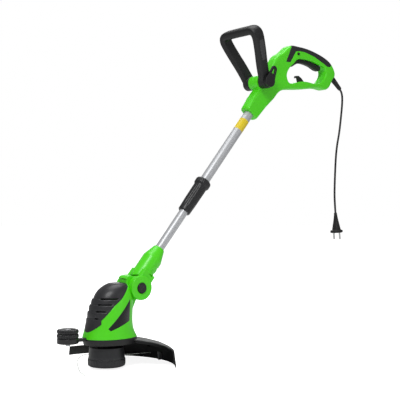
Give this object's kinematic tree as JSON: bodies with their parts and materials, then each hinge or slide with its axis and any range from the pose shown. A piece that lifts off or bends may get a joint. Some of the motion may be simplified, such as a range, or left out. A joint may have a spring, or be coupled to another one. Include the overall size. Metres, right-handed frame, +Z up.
{
  "type": "string trimmer",
  "caption": "Corded string trimmer with a telescopic shaft, tilting motor head, line guard, guide wheel, adjustable front handle and a trailing lead with a plug.",
  "frame": {"origin": "centre of the rear grip's cross-section, between its trigger side and its back", "axes": "+X from the cutting head towards the user, +Y to the user's right, +Z up, with the cutting plane level"},
  "size_m": [0.9325, 0.2638, 0.8453],
  "materials": {
    "green_plastic": "smooth moulded, bright lime green",
    "soft_black": "soft-touch overmould, satin",
    "black_plastic": "moulded, fine matt grain",
    "shaft_plastic": "moulded, satin black",
    "cover_plastic": "moulded, satin dark grey",
    "badge_plastic": "plain dark inlay",
    "wheel_plastic": "moulded dark grey",
    "spool_plastic": "moulded, satin black",
    "tube_metal": "drawn and satin anodised",
    "steel": "plain zinc or ground steel",
    "spring_steel": "drawn wire",
    "inner_plastic": "moulded grey",
    "laminations": "stacked sheet",
    "copper": "enamelled wire and bars",
    "carbon": "pressed carbon",
    "cord_rubber": "smooth flexible sheath",
    "pin_metal": "nickel plated",
    "label_yellow": null,
    "line_nylon": "round extruded nylon"
  },
  "bodies": {
    "handle": {"handle_housing_left": "green_plastic", "handle_housing_right": "green_plastic", "soft_grip": "soft_black", "handle_screws": "steel", "trigger_pin": "steel", "trigger_spring": "spring_steel", "switch_body": "inner_plastic", "terminal_block": "inner_plastic", "strain_relief": "black_plastic", "mains_cord": "cord_rubber", "plug_body": "black_plastic", "plug_pins": "pin_metal", "cord_hook": "black_plastic", "upper_tube": "tube_metal", "tube_label": "label_yellow", "bow_bolt": "steel", "bow_washers": "black_plastic"},
    "trigger": {"trigger": "black_plastic"},
    "lock_off": {"lock_off_button": "black_plastic"},
    "front_handle": {"front_handle": "black_plastic"},
    "clamp_knob": {"clamp_knob": "black_plastic"},
    "lock_sleeve": {"lock_sleeve": "shaft_plastic"},
    "collet": {"clamp_collet": "shaft_plastic"},
    "lower_shaft": {"lower_tube": "tube_metal", "motor_lead": "cord_rubber", "socket_left": "green_plastic", "socket_right": "green_plastic", "socket_screws": "steel", "tilt_pin": "steel", "tilt_spring": "spring_steel"},
    "tilt_button": {"tilt_button": "wheel_plastic"},
    "head": {"motor_housing_left": "green_plastic", "motor_housing_right": "green_plastic", "motor_cover": "cover_plastic", "side_badges": "badge_plastic", "head_screws": "steel", "stator": "laminations", "field_coils": "copper", "lower_end_cap": "inner_plastic", "upper_end_cap": "inner_plastic", "lower_bearing": "steel", "upper_bearing": "steel", "brushes": "carbon", "guard": "black_plastic", "line_cutter": "steel", "wheel_carrier": "shaft_plastic", "wheel_axle": "steel"},
    "rotor": {"motor_shaft": "steel", "armature": "laminations", "commutator": "copper", "cooling_fan": "inner_plastic", "spool_housing": "spool_plastic", "spool_cap": "spool_plastic", "line_spool": "black_plastic", "line_winding": "line_nylon", "line_eyelets": "steel", "cutting_lines": "line_nylon", "bump_spring": "spring_steel"},
    "bump": {"bump_button": "spool_plastic"},
    "wheel": {"guide_wheel": "wheel_plastic"}
  },
  "joints": [
    {"name": "trigger_pull", "type": "hinge", "parent": "handle", "child": "trigger", "pos_m": [0.02963, 0, -0.02224], "axis": [0, 1, 0], "range_deg": [0, 4], "stiffness_Nm_per_rad": 1.5, "springref_deg": -5.73, "deforming": ["trigger_spring"]},
    {"name": "lock_off_push", "type": "slide", "parent": "handle", "child": "lock_off", "axis": [0, 1, 0], "range_m": [0, 0.003], "stiffness_N_per_m": 300, "springref_m": -0.004},
    {"name": "front_handle_tilt", "type": "hinge", "parent": "handle", "child": "front_handle", "pos_m": [-0.19248, 0, -0.08782], "axis": [0, 1, 0], "range_deg": [-40, 50]},
    {"name": "clamp_knob_turn", "type": "hinge", "parent": "front_handle", "child": "clamp_knob", "pos_m": [-0.19248, 0, -0.08782], "axis": [0, 1, 0], "range_deg": [0, 180]},
    {"name": "lock_sleeve_turn", "type": "hinge", "parent": "handle", "child": "lock_sleeve", "pos_m": [-0.58924, 0, -0.60733], "axis": [0.6428, 0, 0.766], "range_deg": [0, 60]},
    {"name": "shaft_turn", "type": "hinge", "parent": "handle", "child": "collet", "pos_m": [-0.58924, 0, -0.60733], "axis": [0.6428, 0, 0.766], "range_deg": [0, 180]},
    {"name": "shaft_length", "type": "slide", "parent": "collet", "child": "lower_shaft", "axis": [0.6428, 0, 0.766], "range_m": [-0.1, 0.11]},
    {"name": "tilt_button_push", "type": "slide", "parent": "lower_shaft", "child": "tilt_button", "axis": [0, 1, 0], "range_m": [0, 0.0038], "stiffness_N_per_m": 400, "springref_m": -0.004, "deforming": ["tilt_spring"]},
    {"name": "head_tilt", "type": "hinge", "parent": "lower_shaft", "child": "head", "pos_m": [-0.58924, 0, -0.60733], "axis": [0, 1, 0], "range_deg": [-24, 15]},
    {"name": "spool_spin", "type": "hinge", "parent": "head", "child": "rotor", "pos_m": [-0.66524, 0, -0.78533], "axis": [0, 0, 1], "continuous": true},
    {"name": "bump_push", "type": "slide", "parent": "rotor", "child": "bump", "axis": [0, 0, 1], "range_m": [0, 0.006], "stiffness_N_per_m": 1200, "springref_m": -0.004, "deforming": ["bump_spring"]},
    {"name": "guide_wheel_spin", "type": "hinge", "parent": "head", "child": "wheel", "pos_m": [-0.76824, 0, -0.7], "axis": [0, 0, 1], "continuous": true}
  ]
}
